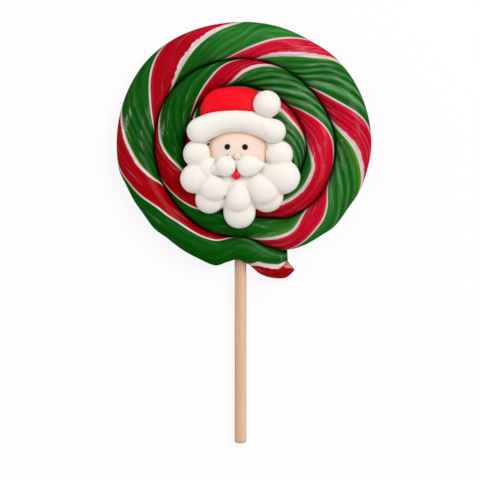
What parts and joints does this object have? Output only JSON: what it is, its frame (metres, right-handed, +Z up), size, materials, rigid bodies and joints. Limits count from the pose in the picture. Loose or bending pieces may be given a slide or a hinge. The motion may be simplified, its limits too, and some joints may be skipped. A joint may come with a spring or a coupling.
{
  "type": "lollipop",
  "caption": "Large flat swirl lollipop of red, green and white twisted boiled sugar on a wooden stick, with a piped sugar head of a bearded man in a winter hat on its front.",
  "frame": {"origin": "middle of the coiled candy, on the flat back that it lies on", "axes": "+Z up through the sugar head on the front, -Y along the stick towards its free end, +X to the right as seen from the front with the stick down"},
  "size_m": [0.0978, 0.1622, 0.0217],
  "materials": {
    "boiled_sugar": "glossy hard candy, striped green, red and white",
    "birch": "plain sanded wood",
    "white_sugar": "smooth matte sugar icing",
    "red_sugar": "smooth matte sugar icing",
    "peach_sugar": "smooth matte sugar icing",
    "black_sugar": "matte sugar icing"
  },
  "bodies": {
    "root": {"candy_rope": "boiled_sugar", "stick": "birch", "beard": "white_sugar", "hat_brim": "white_sugar", "hat_pompom": "white_sugar", "moustache_left": "white_sugar", "moustache_right": "white_sugar", "hat": "red_sugar", "mouth": "red_sugar", "face": "peach_sugar", "nose": "peach_sugar", "eye_left": "black_sugar", "eye_right": "black_sugar"}
  },
  "joints": []
}
